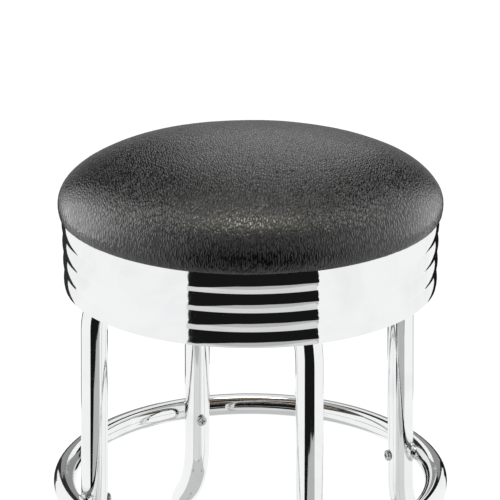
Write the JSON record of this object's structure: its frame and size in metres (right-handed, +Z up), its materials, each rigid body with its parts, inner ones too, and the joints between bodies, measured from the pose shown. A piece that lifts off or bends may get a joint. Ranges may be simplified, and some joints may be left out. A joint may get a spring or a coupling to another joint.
{
  "type": "bar stool",
  "caption": "Round swivel bar stool with a domed black vinyl seat, a ribbed chrome trim band, bent chrome tube legs and a foot ring.",
  "frame": {"origin": "on the floor, on the seat's turning axis, under the middle of the four feet", "axes": "+Z up along the seat's turning axis; one leg pair lies along X and the other along Y; -Y is the front"},
  "size_m": [0.4768, 0.4768, 0.762],
  "materials": {
    "chrome_tube": "polished chrome plate on bent steel tube",
    "chrome_band": "mirror-polished chrome on rolled ribbed strip",
    "plated_fastener": "bright zinc plate",
    "bearing_steel": "polished ball steel with a film of grease",
    "black_plate": "black powder coat on pressed steel",
    "white_nylon": "natural nylon",
    "black_rubber": "moulded black rubber",
    "plywood": "sanded birch plywood",
    "foam": "cut open-cell foam",
    "vinyl": "black pebble-grain upholstery vinyl with a low sheen"
  },
  "bodies": {
    "frame": {"side_leg_pair": "chrome_tube", "front_back_leg_pair": "chrome_tube", "foot_cap_right": "black_rubber", "foot_cap_back": "black_rubber", "foot_cap_left": "black_rubber", "foot_cap_front": "black_rubber", "foot_ring": "chrome_tube", "foot_ring_screws": "plated_fastener", "foot_ring_nuts": "plated_fastener", "swivel_base_plate": "black_plate", "saddle_washers": "plated_fastener", "frame_bolts": "plated_fastener", "base_plate_nuts": "plated_fastener", "swivel_pin": "plated_fastener", "pin_washer": "white_nylon"},
    "ball_cage": {"ball_cage": "white_nylon", "swivel_balls": "bearing_steel"},
    "seat": {"swivel_top_plate": "black_plate", "seat_bolts": "plated_fastener", "seat_tee_nuts": "plated_fastener", "seat_board": "plywood", "seat_foam": "foam", "seat_cover": "vinyl", "cover_staples": "plated_fastener", "trim_band": "chrome_band", "seam_strip": "chrome_band", "seam_rivets": "chrome_band", "band_clips": "plated_fastener", "clip_screws": "plated_fastener"}
  },
  "joints": [
    {"name": "seat_swivel", "type": "hinge", "parent": "frame", "child": "seat", "pos_m": [0, 0, 0.6798], "axis": [0, 0, 1], "continuous": true},
    {"name": "ball_cage_orbit", "type": "hinge", "parent": "frame", "child": "ball_cage", "pos_m": [0, 0, 0.6749], "axis": [0, 0, 1], "continuous": true}
  ],
  "couplings": [
    {"joint": "ball_cage_orbit", "follows": "seat_swivel", "ratio": 0.5}
  ]
}
